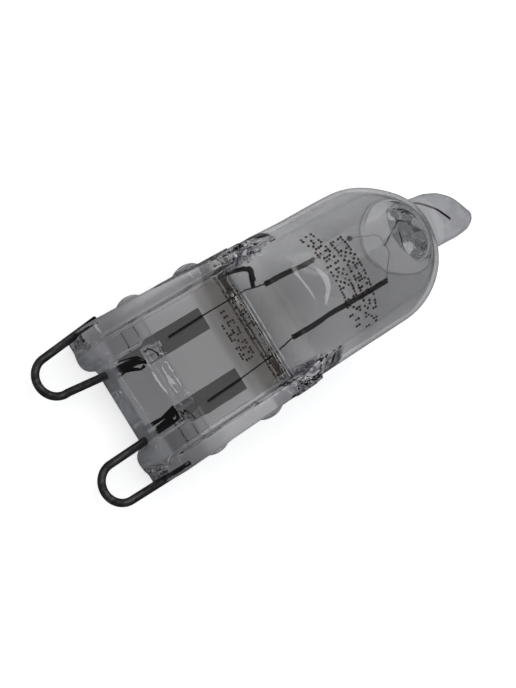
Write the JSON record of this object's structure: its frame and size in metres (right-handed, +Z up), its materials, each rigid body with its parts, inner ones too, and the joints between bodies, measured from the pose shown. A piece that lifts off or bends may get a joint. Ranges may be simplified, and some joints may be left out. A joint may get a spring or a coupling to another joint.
{
  "type": "oven light bulb",
  "caption": "Clear oven lamp capsule: a blown glass bulb on a pressed flat foot, with wire contact loops, sealed foils, a coiled filament and its supports.",
  "frame": {"origin": "on the surface that the lamp lies on, under the middle of its bounding box", "axes": "+X along the lamp from the contact loops to the dome, seen from above; +Z up; the foot's flat face looks up and the foot end lies lower than the dome"},
  "size_m": [0.0417, 0.0136, 0.014],
  "materials": {
    "clear_glass": "clear quartz glass, faintly grey, with a small dotted mark on the foot and the bulb",
    "contact_wire": "dull, darkened wire",
    "seal_foil": "thin dark metal foil",
    "filament_wire": "dark grey drawn wire",
    "support_wire": "dark grey wire"
  },
  "bodies": {
    "root": {"glass_envelope": "clear_glass", "left_contact_loop": "contact_wire", "right_contact_loop": "contact_wire", "left_foil": "seal_foil", "right_foil": "seal_foil", "filament": "filament_wire", "top_support": "support_wire", "foot_support": "support_wire"}
  },
  "joints": []
}
